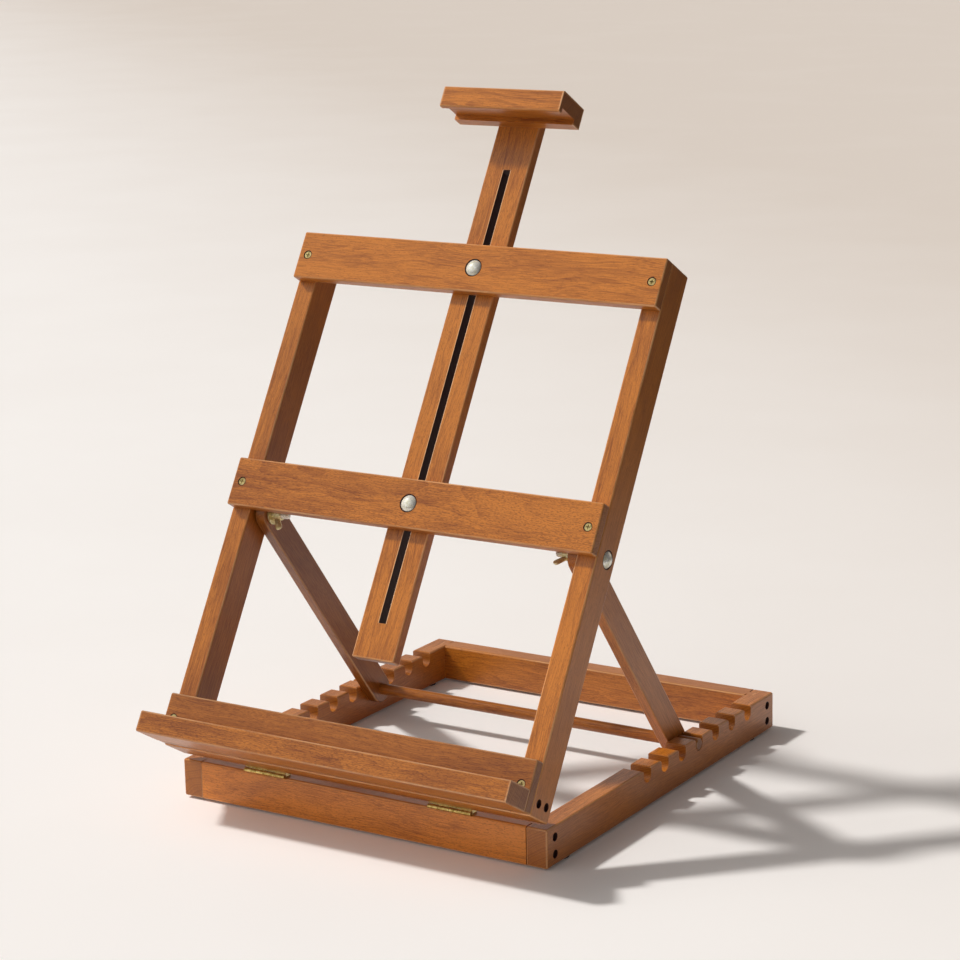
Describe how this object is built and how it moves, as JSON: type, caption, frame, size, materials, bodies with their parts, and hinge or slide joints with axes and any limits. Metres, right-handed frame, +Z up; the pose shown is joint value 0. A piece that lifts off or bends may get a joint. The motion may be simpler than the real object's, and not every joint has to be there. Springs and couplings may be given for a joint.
{
  "type": "tabletop easel",
  "caption": "Wooden tabletop H-frame easel on a notched base frame: the frame tilts on hinges, a dowelled prop holds it, and a slotted mast with a clamp slides up.",
  "frame": {"origin": "on the table under the middle of the easel, midway across and midway between the ledge's front and the base's rear", "axes": "+Z up, +X to the right of a person at the easel, +Y away from them"},
  "size_m": [0.3556, 0.4486, 0.5691],
  "materials": {
    "rail_wood": "brown stain, satin varnish",
    "frame_wood": "brown stain, satin varnish",
    "prop_wood": "brown stain, satin varnish",
    "hinge_brass": "brass plated, slightly worn",
    "screw_brass": "brass plated, slightly dulled",
    "bolt_brass": "brass plated, polished dome",
    "foot_rubber": "soft, matt"
  },
  "bodies": {
    "base": {"base_side_rail_left": "rail_wood", "base_side_rail_right": "rail_wood", "base_front_rail": "rail_wood", "base_rear_rail": "rail_wood", "base_corner_screws": "screw_brass", "base_foot_pads": "foot_rubber", "hinge_base_leaf_left": "hinge_brass", "hinge_base_leaf_right": "hinge_brass", "hinge_pin_left": "hinge_brass", "hinge_pin_right": "hinge_brass", "hinge_base_screws": "hinge_brass"},
    "tilt_frame": {"upright_left": "frame_wood", "upright_right": "frame_wood", "bottom_rail": "frame_wood", "top_crossbar": "frame_wood", "middle_crossbar": "frame_wood", "ledge_backboard": "frame_wood", "ledge_bar": "frame_wood", "bottom_rail_screws": "screw_brass", "crossbar_screws": "screw_brass", "ledge_end_screws": "screw_brass", "ledge_bar_screws": "screw_brass", "hinge_frame_leaf_left": "hinge_brass", "hinge_frame_leaf_right": "hinge_brass", "hinge_frame_screws": "hinge_brass", "mast_bolt_top": "bolt_brass", "mast_bolt_middle": "bolt_brass", "mast_washer_top": "bolt_brass", "mast_washer_middle": "bolt_brass", "pivot_bolt_left": "bolt_brass", "pivot_bolt_right": "bolt_brass", "pivot_spacer_left": "bolt_brass", "pivot_spacer_right": "bolt_brass", "pivot_washer_left": "bolt_brass", "pivot_washer_right": "bolt_brass"},
    "mast": {"mast": "frame_wood", "mast_clamp": "frame_wood", "clamp_screws": "screw_brass"},
    "prop": {"strut_left": "prop_wood", "strut_right": "prop_wood", "prop_dowel": "prop_wood"},
    "mast_nut_top": {"mast_wing_nut_top": "bolt_brass"},
    "mast_nut_middle": {"mast_wing_nut_middle": "bolt_brass"},
    "pivot_nut_left": {"pivot_wing_nut_left": "bolt_brass"},
    "pivot_nut_right": {"pivot_wing_nut_right": "bolt_brass"}
  },
  "joints": [
    {"name": "frame_tip", "type": "hinge", "parent": "base", "child": "tilt_frame", "pos_m": [0, -0.16572, 0.0355], "axis": [1, 0, 0], "range_deg": [0, 50]},
    {"name": "prop_swing", "type": "hinge", "parent": "tilt_frame", "child": "prop", "pos_m": [0, -0.06699, 0.22409], "axis": [1, 0, 0], "range_deg": [0, 111.2]},
    {"name": "mast_slide", "type": "slide", "parent": "tilt_frame", "child": "mast", "axis": [0, 0.515, 0.8572], "range_m": [-0.076, 0.094]},
    {"name": "mast_nut_top_turn", "type": "hinge", "parent": "tilt_frame", "child": "mast_nut_top", "pos_m": [0, 0.04593, 0.41493], "axis": [0, 0.8572, -0.515], "range_deg": [0, 360]},
    {"name": "mast_nut_middle_turn", "type": "hinge", "parent": "tilt_frame", "child": "mast_nut_middle", "pos_m": [0, -0.05939, 0.23964], "axis": [0, 0.8572, -0.515], "range_deg": [0, 360]},
    {"name": "pivot_nut_left_turn", "type": "hinge", "parent": "tilt_frame", "child": "pivot_nut_left", "pos_m": [-0.14, -0.06699, 0.22409], "axis": [1, 0, 0], "range_deg": [0, 360]},
    {"name": "pivot_nut_right_turn", "type": "hinge", "parent": "tilt_frame", "child": "pivot_nut_right", "pos_m": [0.14, -0.06699, 0.22409], "axis": [-1, 0, 0], "range_deg": [0, 360]}
  ]
}
